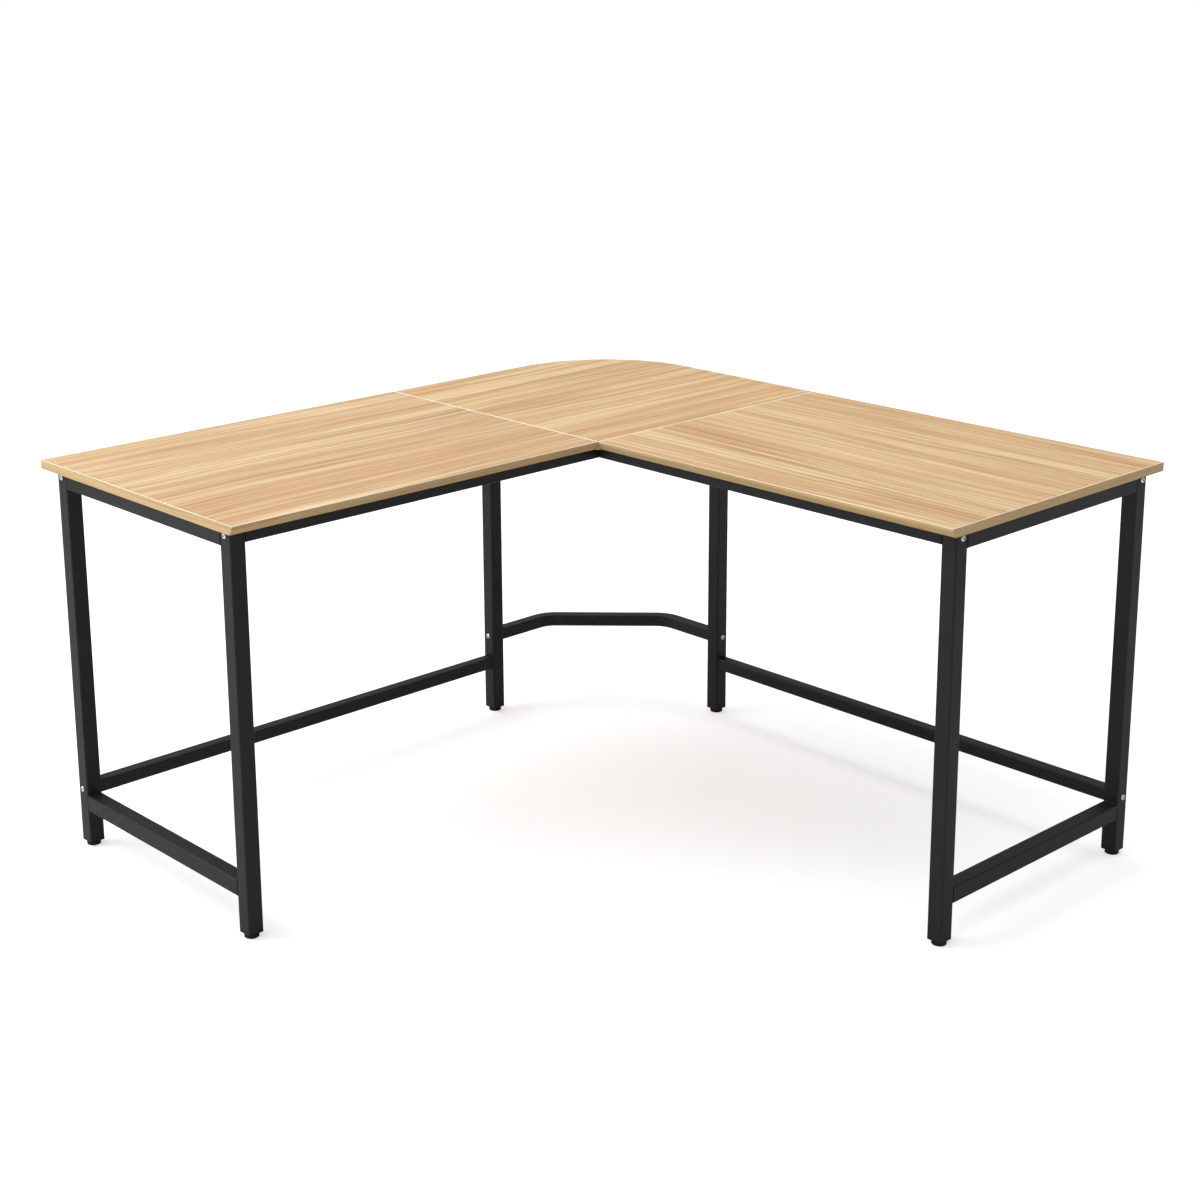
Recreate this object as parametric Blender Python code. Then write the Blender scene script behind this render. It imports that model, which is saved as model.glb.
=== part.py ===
"""Corner desk: three boards on a bolted frame of square steel tube.

Metres, +Z up. The origin is on the floor, under the centre of the desk's square
footprint. The side wing runs along -Y on the left, the main wing along +X at the
back, and the corner board with its rounded outer corner joins the two.
"""

import math

import bmesh
import bpy
from mathutils import Matrix, Vector

# Overall size
DESK_LENGTH = 1.400  # along X: corner board and main wing
DESK_WIDTH = 1.400  # along Y: corner board and side wing
DESK_HEIGHT = 0.740

# Boards
BOARD_DEPTH = 0.600
BOARD_THICKNESS = 0.016
OUTER_CORNER_RADIUS = 0.240
FRONT_NOSE_HEIGHT = 0.005  # upright part of a wing's front edge
FRONT_UNDERCUT = 0.008  # how far the edge slopes back below its nose
ARC_STEPS = 16

# Frame: where the legs stand under the boards
BACK_INSET = 0.015
END_INSET = 0.023
FRONT_INSET = 0.041
INNER_LEG_DISTANCE = 0.370  # from the desk's outer sides to the inner legs' centres

# Tubes
LEG_SIZE = 0.030
TUBE_WALL = 0.0012
TUBE_CORNER_RADIUS = 0.003
TUBE_CORNER_STEPS = 2
TOP_END_RAIL_HEIGHT = 0.035
LONG_RAIL_HEIGHT = 0.029
LOWER_END_RAIL_HEIGHT = 0.030
LOWER_END_RAIL_TOP = 0.102
STRETCHER_SIZE = 0.025
STRETCHER_TOP = 0.1255
BRACE_SIZE = 0.025
BRACE_HEIGHT = 0.1715  # centre line above the floor
BRACE_STRAIGHT = 0.136  # from the leg's face to the corner of the bend
BRACE_BEND_RADIUS = 0.060
BRACE_BEND_STEPS = 4
END_PLATE = 0.003  # threaded plate welded into each bolted tube end

# Levelling feet and the plugs that hold them
FOOT_RADIUS = 0.013
FOOT_HEIGHT = 0.0082
FOOT_TRAVEL = 0.010  # how far a foot screws out; its stem still fills the plug
FOOT_STEM_RADIUS = 0.0039
STEM_CLEARANCE = 0.0003
PLUG_FLANGE = 0.002
PLUG_DEPTH = 0.018
PLUG_WALL_CLEARANCE = 0.0003

# Fasteners
BOLT_HEAD_RADIUS = 0.00525
BOLT_HEAD_HEIGHT = 0.0030
BOLT_STEM_RADIUS = 0.00285
BOLT_REACH = 0.006  # how far a bolt passes the outer side of the end plate
SOCKET_RADIUS = 0.0022
SOCKET_DEPTH = 0.0016
LEG_HOLE_CLEARANCE = 0.00045
PLATE_HOLE_CLEARANCE = 0.00025
BOLT_OFFSET = 0.006  # keeps the two bolts of an inner leg's top apart
SCREW_HEAD_RADIUS = 0.0040
SCREW_HEAD_HEIGHT = 0.0022
SCREW_STEM_RADIUS = 0.0018
SCREW_HOLE_CLEARANCE = 0.0005
SCREW_BITE = 0.010  # how deep a wood screw goes into a board
PILOT_CLEARANCE = 0.001

# Plates below the two board seams
SEAM_PLATE_LENGTH = 0.120
SEAM_PLATE_WIDTH = 0.040
SEAM_PLATE_THICKNESS = 0.002
SEAM_SCREW_SPACING = 0.080
SEAM_PLATE_CLEARANCE = 0.010  # least space between a seam plate and a cross rail

GAP = 0.0003  # between pieces that touch
ROUND_SEGMENTS = 12
FOOT_SEGMENTS = 24

# Places worked out from the sizes
LEFT = -DESK_LENGTH / 2
RIGHT = DESK_LENGTH / 2
NEAR = -DESK_WIDTH / 2
FAR = DESK_WIDTH / 2
INNER_X = LEFT + BOARD_DEPTH
INNER_Y = FAR - BOARD_DEPTH
BOARD_BOTTOM = DESK_HEIGHT - BOARD_THICKNESS
FRAME_TOP = BOARD_BOTTOM - GAP
PLUG_BOTTOM = FOOT_HEIGHT + GAP
LEG_BOTTOM = PLUG_BOTTOM + PLUG_FLANGE + GAP
HALF_LEG = LEG_SIZE / 2
FOOT_STEM_LENGTH = PLUG_FLANGE + PLUG_DEPTH + FOOT_TRAVEL

BACK_X = LEFT + BACK_INSET + HALF_LEG
FRONT_X = INNER_X - FRONT_INSET - HALF_LEG
END_Y = NEAR + END_INSET + HALF_LEG
BACK_Y = FAR - BACK_INSET - HALF_LEG
FRONT_Y = INNER_Y + FRONT_INSET + HALF_LEG
END_X = RIGHT - END_INSET - HALF_LEG
SIDE_INNER_Y = FAR - INNER_LEG_DISTANCE
MAIN_INNER_X = LEFT + INNER_LEG_DISTANCE

LONG_RAIL_Z = FRAME_TOP - LONG_RAIL_HEIGHT / 2
TOP_END_RAIL_Z = FRAME_TOP - TOP_END_RAIL_HEIGHT / 2
LOWER_END_RAIL_Z = LOWER_END_RAIL_TOP - LOWER_END_RAIL_HEIGHT / 2
STRETCHER_Z = STRETCHER_TOP - STRETCHER_SIZE / 2
LEG_HOLE_RADIUS = BOLT_STEM_RADIUS + LEG_HOLE_CLEARANCE
PLATE_HOLE_RADIUS = BOLT_STEM_RADIUS + PLATE_HOLE_CLEARANCE
SCREW_HOLE_RADIUS = SCREW_STEM_RADIUS + SCREW_HOLE_CLEARANCE
BACK_BOLT_Z = LONG_RAIL_Z + BOLT_OFFSET
CROSS_BOLT_Z = LONG_RAIL_Z - BOLT_OFFSET

UP = Vector((0, 0, 1))
EAST = Vector((1, 0, 0))
WEST = Vector((-1, 0, 0))
NORTH = Vector((0, 1, 0))
SOUTH = Vector((0, -1, 0))


def clear_scene():
    for old in list(bpy.data.objects):
        bpy.data.objects.remove(old, do_unlink=True)


def make_material(name, color, roughness, metallic):
    material = bpy.data.materials.new(name)
    material.use_nodes = True
    shader = material.node_tree.nodes["Principled BSDF"]
    shader.inputs["Base Color"].default_value = (*color, 1.0)
    shader.inputs["Roughness"].default_value = roughness
    shader.inputs["Metallic"].default_value = metallic
    return material


def add_object(name, mesh, material=None):
    """Links an object for the mesh, with a material of its own where one is given."""
    obj = bpy.data.objects.new(name, mesh)
    bpy.context.scene.collection.objects.link(obj)
    if material:
        color, roughness, metallic = material
        obj.data.materials.append(None)
        obj.material_slots[0].link = "OBJECT"
        obj.material_slots[0].material = make_material(name, color, roughness, metallic)
    return obj


def mesh_from(bm, name):
    bmesh.ops.recalc_face_normals(bm, faces=bm.faces)
    mesh = bpy.data.meshes.new(name)
    bm.to_mesh(mesh)
    bm.free()
    return mesh


def shade_round(mesh):
    mesh.shade_smooth()
    mesh.set_sharp_from_angle(angle=math.radians(35))


def rounded_rectangle(width, height, radius, steps):
    """Corner points of a rounded rectangle about the origin, counter-clockwise."""
    points = []
    for quarter, (side_x, side_y) in enumerate(((1, 1), (-1, 1), (-1, -1), (1, -1))):
        centre = Vector((side_x * (width / 2 - radius), side_y * (height / 2 - radius)))
        for step in range(steps + 1):
            angle = math.radians(90) * (quarter + step / steps)
            points.append(centre + radius * Vector((math.cos(angle), math.sin(angle))))
    return points


def plain_rectangle(width, height):
    corners = ((-1, -1), (1, -1), (1, 1), (-1, 1))
    return [Vector((side_x * width / 2, side_y * height / 2)) for side_x, side_y in corners]


def prism(points, length, name):
    """A mesh of the outline in XY, extruded from z = 0 to the length."""
    bm = bmesh.new()
    outline = [bm.verts.new((point[0], point[1], 0)) for point in points]
    face = bm.faces.new(outline)
    grown = bmesh.ops.extrude_face_region(bm, geom=[face])["geom"]
    moved = [item for item in grown if isinstance(item, bmesh.types.BMVert)]
    bmesh.ops.translate(bm, verts=moved, vec=(0, 0, length))
    return mesh_from(bm, name)


def turned(profile, segments, name):
    """A solid turned about Z from (radius, height) points that start and end on the axis."""
    bm = bmesh.new()
    line = [bm.verts.new((radius, 0, height)) for radius, height in profile]
    edges = [bm.edges.new(pair) for pair in zip(line, line[1:])]
    bmesh.ops.spin(
        bm,
        geom=line + edges,
        cent=(0, 0, 0),
        axis=(0, 0, 1),
        angle=math.tau,
        steps=segments,
        use_merge=True,
    )
    bmesh.ops.remove_doubles(bm, verts=bm.verts, dist=1e-6)
    mesh = mesh_from(bm, name)
    shade_round(mesh)
    return mesh


def place(obj, location, direction):
    """Puts the object's own Z along the direction, with its Y upright on a level piece."""
    if abs(direction.dot(UP)) > 0.99:
        side = EAST if direction.z > 0 else WEST
        upright = NORTH
    else:
        upright = UP
        side = upright.cross(direction)
    turn = Matrix((side, upright, direction)).transposed()
    obj.rotation_euler = turn.to_euler()
    obj.location = location


def cut(obj, cutter_mesh, location, direction):
    """Takes the cutter's shape, placed in world space, out of the object."""
    cutter = add_object(obj.name + "_cutter", cutter_mesh)
    place(cutter, location, direction)
    cutter.hide_render = True
    cutter.display_type = "WIRE"
    boolean = obj.modifiers.new("Cut", "BOOLEAN")
    boolean.object = cutter
    boolean.operation = "DIFFERENCE"


def hole_mesh(radius, length):
    circle = [
        (
            radius * math.cos(math.tau * step / ROUND_SEGMENTS),
            radius * math.sin(math.tau * step / ROUND_SEGMENTS),
        )
        for step in range(ROUND_SEGMENTS)
    ]
    return prism(circle, length, "hole")


def drill(obj, start, direction, radius, length):
    cut(obj, hole_mesh(radius, length), start, direction)


BLACK_STEEL = ((0.018, 0.018, 0.021), 0.48, 0.0)
OAK = ((0.62, 0.42, 0.25), 0.55, 0.0)
ZINC = ((0.62, 0.62, 0.64), 0.30, 1.0)
BLACK_PLASTIC = ((0.012, 0.012, 0.013), 0.60, 0.0)


def wing_board(name, start, direction, length):
    """A straight board; its front edge, on the user's side, slopes back below a nose."""
    half = BOARD_DEPTH / 2
    top = BOARD_THICKNESS
    front = -half if direction == EAST else half
    inward = -1 if front > 0 else 1
    outline = [
        (-front, 0),
        (-front, top),
        (front, top),
        (front, top - FRONT_NOSE_HEIGHT),
        (front + inward * FRONT_UNDERCUT, 0),
    ]
    obj = add_object(name, prism(outline, length, name), OAK)
    place(obj, start, direction)
    return obj


def corner_board():
    """Square apart from the large radius at the desk's outer corner."""
    centre = Vector((LEFT + OUTER_CORNER_RADIUS, FAR - OUTER_CORNER_RADIUS))
    outline = [(LEFT, INNER_Y), (INNER_X, INNER_Y), (INNER_X, FAR)]
    for step in range(ARC_STEPS + 1):
        angle = math.radians(90) * (1 + step / ARC_STEPS)
        direction = Vector((math.cos(angle), math.sin(angle)))
        outline.append(centre + OUTER_CORNER_RADIUS * direction)
    obj = add_object("corner_board", prism(outline, BOARD_THICKNESS, "corner_board"), OAK)
    obj.location = (0, 0, BOARD_BOTTOM)
    return obj


def leg(name, x, y):
    """An open square tube, from its foot plug up to the boards."""
    outer = rounded_rectangle(LEG_SIZE, LEG_SIZE, TUBE_CORNER_RADIUS, TUBE_CORNER_STEPS)
    height = FRAME_TOP - LEG_BOTTOM
    obj = add_object(name, prism(outer, height, name), BLACK_STEEL)
    place(obj, (x, y, LEG_BOTTOM), UP)
    bore = LEG_SIZE - 2 * TUBE_WALL
    past = LEG_SIZE
    cutter = prism(plain_rectangle(bore, bore), height + 2 * past, "bore")
    cut(obj, cutter, (x, y, LEG_BOTTOM - past), UP)
    return obj


def tube(name, start, end, width, height, plates):
    """A level tube between two points, open, or closed by a threaded plate at each end."""
    start = Vector(start)
    run = Vector(end) - start
    direction = run.normalized()
    outer = rounded_rectangle(width, height, TUBE_CORNER_RADIUS, TUBE_CORNER_STEPS)
    obj = add_object(name, prism(outer, run.length, name), BLACK_STEEL)
    place(obj, start, direction)
    inside = plain_rectangle(width - 2 * TUBE_WALL, height - 2 * TUBE_WALL)
    margin = END_PLATE if plates else -width
    cut(obj, prism(inside, run.length - 2 * margin, "bore"), start + margin * direction, direction)
    return obj


def brace_path():
    """Centre line of the corner brace: two straights, two bends and the diagonal."""
    start = Vector((BACK_X, SIDE_INNER_Y + HALF_LEG + GAP, BRACE_HEIGHT))
    end = Vector((MAIN_INNER_X - HALF_LEG - GAP, BACK_Y, BRACE_HEIGHT))
    first = start + BRACE_STRAIGHT * NORTH
    last = end + BRACE_STRAIGHT * WEST
    diagonal = (last - first).normalized()
    points = [(start, NORTH)]
    for corner, before, after in ((first, NORTH, diagonal), (last, diagonal, EAST)):
        bend = before.angle(after)
        back = BRACE_BEND_RADIUS * math.tan(bend / 2)
        to_inside = (after - after.project(before)).normalized()
        centre = corner - back * before + BRACE_BEND_RADIUS * to_inside
        for step in range(BRACE_BEND_STEPS + 1):
            turn = Matrix.Rotation(-bend * step / BRACE_BEND_STEPS, 3, "Z")
            spoke = corner - back * before - centre
            points.append((centre + turn @ spoke, turn @ before))
    points.append((end, EAST))
    return points


def swept(outline, path, name):
    """A solid of the outline carried along the level path, square to it all the way."""
    bm = bmesh.new()
    rings = []
    for centre, direction in path:
        side = UP.cross(direction)
        rings.append([bm.verts.new(centre + point[0] * side + point[1] * UP) for point in outline])
    for ring, following in zip(rings, rings[1:]):
        count = len(ring)
        for index in range(count):
            beside = (index + 1) % count
            bm.faces.new((ring[index], ring[beside], following[beside], following[index]))
    bm.faces.new(rings[0])
    bm.faces.new(rings[-1])
    return mesh_from(bm, name)


def corner_brace():
    """The bent tube between the inner legs, with a threaded plate in each end."""
    path = brace_path()
    outer = rounded_rectangle(BRACE_SIZE, BRACE_SIZE, TUBE_CORNER_RADIUS, TUBE_CORNER_STEPS)
    obj = add_object("corner_brace", swept(outer, path, "corner_brace"), BLACK_STEEL)
    bore = BRACE_SIZE - 2 * TUBE_WALL
    first = (path[0][0] + END_PLATE * NORTH, NORTH)
    last = (path[-1][0] + END_PLATE * WEST, EAST)
    inner_path = [first, *path[1:-1], last]
    cutter = add_object("corner_brace_bore", swept(plain_rectangle(bore, bore), inner_path, "bore"))
    cutter.hide_render = True
    cutter.display_type = "WIRE"
    boolean = obj.modifiers.new("Bore", "BOOLEAN")
    boolean.object = cutter
    boolean.operation = "DIFFERENCE"
    return obj


def bolt_mesh(length):
    dome = (BOLT_HEAD_RADIUS + SOCKET_RADIUS) / 2
    profile = [
        (0, -length),
        (BOLT_STEM_RADIUS, -length),
        (BOLT_STEM_RADIUS, 0),
        (BOLT_HEAD_RADIUS, 0),
        (BOLT_HEAD_RADIUS, BOLT_HEAD_HEIGHT / 3),
        (dome, BOLT_HEAD_HEIGHT),
        (SOCKET_RADIUS, BOLT_HEAD_HEIGHT),
        (SOCKET_RADIUS, BOLT_HEAD_HEIGHT - SOCKET_DEPTH),
        (0, BOLT_HEAD_HEIGHT - SOCKET_DEPTH),
    ]
    return turned(profile, ROUND_SEGMENTS, "bolt")


def join(name, mesh, held, joined, face, inward, hole_depth):
    """A bolt whose head sits on a face and which goes through one tube into the next one's plate."""
    bolt = add_object(name, mesh, ZINC)
    place(bolt, face - GAP * inward, -inward)
    outside = face - LEG_SIZE / 4 * inward
    drill(held, outside, inward, LEG_HOLE_RADIUS, hole_depth + LEG_SIZE / 4 + GAP)
    plate_start = face + (hole_depth - END_PLATE / 2) * inward
    drill(joined, plate_start, inward, PLATE_HOLE_RADIUS, 3 * END_PLATE)
    return bolt


def screw_mesh(length):
    profile = [
        (0, 0),
        (SCREW_HEAD_RADIUS / 2, 0),
        (SCREW_HEAD_RADIUS, SCREW_HEAD_HEIGHT * 0.6),
        (SCREW_HEAD_RADIUS, SCREW_HEAD_HEIGHT),
        (SCREW_STEM_RADIUS, SCREW_HEAD_HEIGHT),
        (SCREW_STEM_RADIUS, SCREW_HEAD_HEIGHT + length - SCREW_STEM_RADIUS),
        (0, SCREW_HEAD_HEIGHT + length),
    ]
    return turned(profile, ROUND_SEGMENTS, "wood_screw")


def fasten_board(name, board, carrier, x, y, carrier_bottom):
    """A wood screw from below, through its carrier and into a pilot hole in the board."""
    length = BOARD_BOTTOM - carrier_bottom + SCREW_BITE
    screw = add_object(name, screw_mesh(length), ZINC)
    screw.location = (x, y, carrier_bottom - GAP - SCREW_HEAD_HEIGHT)
    below = Vector((x, y, carrier_bottom - SCREW_HEAD_HEIGHT))
    through = BOARD_BOTTOM - below.z - GAP / 2
    drill(carrier, below, UP, SCREW_HOLE_RADIUS, through)
    pilot = Vector((x, y, BOARD_BOTTOM - SCREW_HEAD_HEIGHT))
    drill(board, pilot, UP, SCREW_HOLE_RADIUS, SCREW_HEAD_HEIGHT + SCREW_BITE + PILOT_CLEARANCE)
    return screw


def seam_plate(name, x, y, along):
    """A flat steel plate below a seam, its long side across the two boards."""
    if along == EAST:
        size = (SEAM_PLATE_LENGTH, SEAM_PLATE_WIDTH)
    else:
        size = (SEAM_PLATE_WIDTH, SEAM_PLATE_LENGTH)
    outline = rounded_rectangle(*size, TUBE_CORNER_RADIUS, TUBE_CORNER_STEPS)
    obj = add_object(name, prism(outline, SEAM_PLATE_THICKNESS, name), ZINC)
    obj.location = (x, y, FRAME_TOP - SEAM_PLATE_THICKNESS)
    return obj


def foot_mesh():
    """A round foot with a threaded stem, its underside at z = 0."""
    edge = FOOT_HEIGHT / 8
    profile = [
        (0, 0),
        (FOOT_RADIUS - edge, 0),
        (FOOT_RADIUS, edge),
        (FOOT_RADIUS, FOOT_HEIGHT - edge),
        (FOOT_RADIUS - edge, FOOT_HEIGHT),
        (FOOT_STEM_RADIUS, FOOT_HEIGHT),
        (FOOT_STEM_RADIUS, FOOT_HEIGHT + FOOT_STEM_LENGTH),
        (0, FOOT_HEIGHT + FOOT_STEM_LENGTH),
    ]
    return turned(profile, FOOT_SEGMENTS, "levelling_foot")


def plug_mesh():
    """A square plastic plug: a flange as wide as the leg, and a body inside its bore."""
    bm = bmesh.new()
    flange = rounded_rectangle(LEG_SIZE, LEG_SIZE, TUBE_CORNER_RADIUS, TUBE_CORNER_STEPS)
    base = bm.faces.new([bm.verts.new((point[0], point[1], 0)) for point in flange])
    grown = bmesh.ops.extrude_face_region(bm, geom=[base])["geom"]
    upper = [item for item in grown if isinstance(item, bmesh.types.BMFace)]
    moved = [item for item in grown if isinstance(item, bmesh.types.BMVert)]
    bmesh.ops.translate(bm, verts=moved, vec=(0, 0, PLUG_FLANGE))
    inset = TUBE_WALL + PLUG_WALL_CLEARANCE
    bmesh.ops.inset_region(bm, faces=upper, thickness=inset, use_even_offset=True)
    grown = bmesh.ops.extrude_face_region(bm, geom=upper)["geom"]
    moved = [item for item in grown if isinstance(item, bmesh.types.BMVert)]
    bmesh.ops.translate(bm, verts=moved, vec=(0, 0, PLUG_DEPTH))
    bmesh.ops.delete(bm, geom=upper, context="FACES")
    return mesh_from(bm, "leg_plug")


def build_boards():
    side_length = INNER_Y - NEAR - GAP
    main_length = RIGHT - INNER_X - GAP
    middle_x = (LEFT + INNER_X) / 2
    middle_y = (INNER_Y + FAR) / 2
    side = wing_board("side_wing_board", (middle_x, NEAR, BOARD_BOTTOM), NORTH, side_length)
    main = wing_board("main_wing_board", (INNER_X + GAP, middle_y, BOARD_BOTTOM), EAST, main_length)
    return {"side": side, "main": main, "corner": corner_board()}


def build_legs():
    spots = {
        "side_back": (BACK_X, END_Y),
        "side_front": (FRONT_X, END_Y),
        "side_inner": (BACK_X, SIDE_INNER_Y),
        "main_inner": (MAIN_INNER_X, BACK_Y),
        "main_front": (END_X, FRONT_Y),
        "main_back": (END_X, BACK_Y),
    }
    foot = foot_mesh()
    plug = plug_mesh()
    legs = {}
    for spot, (x, y) in spots.items():
        name = "leg_" + spot
        legs[name] = leg(name, x, y)
        holder = add_object("leg_plug_" + spot, plug, BLACK_PLASTIC)
        holder.location = (x, y, PLUG_BOTTOM)
        depth = PLUG_FLANGE + PLUG_DEPTH
        bottom = Vector((x, y, PLUG_BOTTOM - PLUG_FLANGE))
        drill(holder, bottom, UP, FOOT_STEM_RADIUS + STEM_CLEARANCE, depth + 2 * PLUG_FLANGE)
        shoe = add_object("levelling_foot_" + spot, foot, BLACK_PLASTIC)
        shoe.location = (x, y, 0)
    return legs


def build_end_rails():
    """The upper and lower tube of each end frame, welded between its two legs."""
    step = HALF_LEG + GAP
    for level, z, height in (
        ("top", TOP_END_RAIL_Z, TOP_END_RAIL_HEIGHT),
        ("lower", LOWER_END_RAIL_Z, LOWER_END_RAIL_HEIGHT),
    ):
        start = (BACK_X + step, END_Y, z)
        end = (FRONT_X - step, END_Y, z)
        tube(f"side_{level}_end_rail", start, end, LEG_SIZE, height, False)
        start = (END_X, FRONT_Y + step, z)
        end = (END_X, BACK_Y - step, z)
        tube(f"main_{level}_end_rail", start, end, LEG_SIZE, height, False)


def build_rails():
    """The bolted tubes, each ending a gap short of the face that it meets."""
    step = HALF_LEG + GAP
    side_inner = SIDE_INNER_Y - step
    main_inner = MAIN_INNER_X + step
    cross_y = SIDE_INNER_Y
    z = LONG_RAIL_Z
    runs = {
        "side_front_rail": ((FRONT_X, END_Y + step, z), (FRONT_X, cross_y - step, z)),
        "side_back_rail": ((BACK_X, END_Y + step, z), (BACK_X, side_inner, z)),
        "main_front_rail": ((FRONT_X + step, FRONT_Y, z), (END_X - step, FRONT_Y, z)),
        "main_back_rail": ((main_inner, BACK_Y, z), (END_X - step, BACK_Y, z)),
        "side_cross_rail": ((BACK_X + step, cross_y, z), (FRONT_X + HALF_LEG, cross_y, z)),
        "main_cross_rail": ((MAIN_INNER_X, cross_y + step, z), (MAIN_INNER_X, BACK_Y - step, z)),
    }
    rails = {}
    for name, (start, end) in runs.items():
        rails[name] = tube(name, start, end, LEG_SIZE, LONG_RAIL_HEIGHT, True)
    z = STRETCHER_Z
    runs = {
        "side_stretcher": ((BACK_X, END_Y + step, z), (BACK_X, side_inner, z)),
        "main_stretcher": ((main_inner, BACK_Y, z), (END_X - step, BACK_Y, z)),
    }
    for name, (start, end) in runs.items():
        rails[name] = tube(name, start, end, STRETCHER_SIZE, STRETCHER_SIZE, True)
    rails["corner_brace"] = corner_brace()
    return rails


def build_bolts(tubes):
    """One bolt at each place where a tube's threaded end meets another tube's side."""
    mesh = bolt_mesh(LEG_SIZE + END_PLATE + BOLT_REACH)
    end_near = END_Y - HALF_LEG
    end_far = END_X + HALF_LEG
    back_left = BACK_X - HALF_LEG
    back_far = BACK_Y + HALF_LEG
    side_near = SIDE_INNER_Y - HALF_LEG
    side_far = SIDE_INNER_Y + HALF_LEG
    main_left = MAIN_INNER_X - HALF_LEG
    main_right = MAIN_INNER_X + HALF_LEG
    top = LONG_RAIL_Z
    low = STRETCHER_Z
    cross = CROSS_BOLT_Z
    brace = BRACE_HEIGHT
    joints = (
        ("side_back_top", "leg_side_back", "side_back_rail", (BACK_X, end_near, top), NORTH),
        ("side_front_top", "leg_side_front", "side_front_rail", (FRONT_X, end_near, top), NORTH),
        ("side_back_low", "leg_side_back", "side_stretcher", (BACK_X, end_near, low), NORTH),
        ("main_back_top", "leg_main_back", "main_back_rail", (end_far, BACK_Y, top), WEST),
        ("main_front_top", "leg_main_front", "main_front_rail", (end_far, FRONT_Y, top), WEST),
        ("main_back_low", "leg_main_back", "main_stretcher", (end_far, BACK_Y, low), WEST),
        ("side_inner_brace", "leg_side_inner", "corner_brace", (BACK_X, side_near, brace), NORTH),
        ("main_inner_brace", "leg_main_inner", "corner_brace", (main_right, BACK_Y, brace), WEST),
        ("side_inner_low", "leg_side_inner", "side_stretcher", (BACK_X, side_far, low), SOUTH),
        ("main_inner_low", "leg_main_inner", "main_stretcher", (main_left, BACK_Y, low), EAST),
        ("side_inner_top", "leg_side_inner", "side_back_rail", (BACK_X, side_far, BACK_BOLT_Z), SOUTH),
        ("main_inner_top", "leg_main_inner", "main_back_rail", (main_left, BACK_Y, BACK_BOLT_Z), EAST),
        ("side_cross", "leg_side_inner", "side_cross_rail", (back_left, SIDE_INNER_Y, cross), EAST),
        ("main_cross", "leg_main_inner", "main_cross_rail", (MAIN_INNER_X, back_far, cross), SOUTH),
        ("cross_to_front", "side_cross_rail", "side_front_rail", (FRONT_X, side_far, top), SOUTH),
        ("cross_to_cross", "side_cross_rail", "main_cross_rail", (MAIN_INNER_X, side_near, top), NORTH),
        ("inner_corner", "side_front_rail", "main_front_rail", (FRONT_X - HALF_LEG, FRONT_Y, top), EAST),
    )
    for name, held, joined, face, inward in joints:
        join("bolt_" + name, mesh, tubes[held], tubes[joined], Vector(face), inward, LEG_SIZE + GAP)


def build_board_fixings(boards, rails):
    """Plates below the seams, and wood screws up into each board."""
    reach = SEAM_SCREW_SPACING / 2
    bottom = FRAME_TOP - SEAM_PLATE_THICKNESS
    x = (LEFT + INNER_X) / 2
    y = INNER_Y
    plate = seam_plate("side_seam_plate", x, y, NORTH)
    fasten_board("screw_side_seam_wing", boards["side"], plate, x, y - reach, bottom)
    fasten_board("screw_side_seam_corner", boards["corner"], plate, x, y + reach, bottom)
    # Halfway along its seam, or further back where the side cross rail is in the way.
    rail_side = SIDE_INNER_Y + HALF_LEG + SEAM_PLATE_CLEARANCE
    x = INNER_X
    y = max((INNER_Y + FAR) / 2, rail_side + SEAM_PLATE_WIDTH / 2)
    plate = seam_plate("main_seam_plate", x, y, EAST)
    fasten_board("screw_main_seam_wing", boards["main"], plate, x + reach, y, bottom)
    fasten_board("screw_main_seam_corner", boards["corner"], plate, x - reach, y, bottom)
    bottom = FRAME_TOP - LONG_RAIL_HEIGHT
    side_middle = (NEAR + INNER_Y) / 2
    main_middle = (INNER_X + RIGHT) / 2
    cross_middle = (BACK_X + MAIN_INNER_X) / 2
    carrier = rails["side_front_rail"]
    fasten_board("screw_side_wing", boards["side"], carrier, FRONT_X, side_middle, bottom)
    carrier = rails["main_front_rail"]
    fasten_board("screw_main_wing", boards["main"], carrier, main_middle, FRONT_Y, bottom)
    carrier = rails["side_cross_rail"]
    fasten_board("screw_corner", boards["corner"], carrier, cross_middle, SIDE_INNER_Y, bottom)


def build_desk():
    boards = build_boards()
    legs = build_legs()
    build_end_rails()
    rails = build_rails()
    build_bolts({**legs, **rails})
    build_board_fixings(boards, rails)


clear_scene()
build_desk()
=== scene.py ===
import math

import bmesh
import bpy
from mathutils import Matrix, Vector


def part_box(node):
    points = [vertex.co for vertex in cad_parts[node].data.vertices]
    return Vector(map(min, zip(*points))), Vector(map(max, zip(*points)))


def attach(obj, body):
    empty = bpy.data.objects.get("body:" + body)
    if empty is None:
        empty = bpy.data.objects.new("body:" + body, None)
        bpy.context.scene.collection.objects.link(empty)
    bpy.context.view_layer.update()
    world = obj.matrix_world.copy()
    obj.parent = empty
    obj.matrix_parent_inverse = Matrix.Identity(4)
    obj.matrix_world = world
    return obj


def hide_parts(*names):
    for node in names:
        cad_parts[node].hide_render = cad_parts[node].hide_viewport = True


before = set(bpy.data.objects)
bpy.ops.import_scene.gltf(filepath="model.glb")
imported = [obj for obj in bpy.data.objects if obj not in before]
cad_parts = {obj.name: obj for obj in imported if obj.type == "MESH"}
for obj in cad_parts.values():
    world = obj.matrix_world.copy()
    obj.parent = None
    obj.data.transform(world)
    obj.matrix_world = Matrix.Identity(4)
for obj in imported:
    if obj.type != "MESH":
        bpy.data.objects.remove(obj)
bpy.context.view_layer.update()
print("frame loaded:", len(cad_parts), "nodes")

deskBody = "desk"
spots = ("side_back", "side_front", "side_inner", "main_inner", "main_front", "main_back")
alongX, alongY, alongZ = 0, 1, 2


# Node trees

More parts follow.
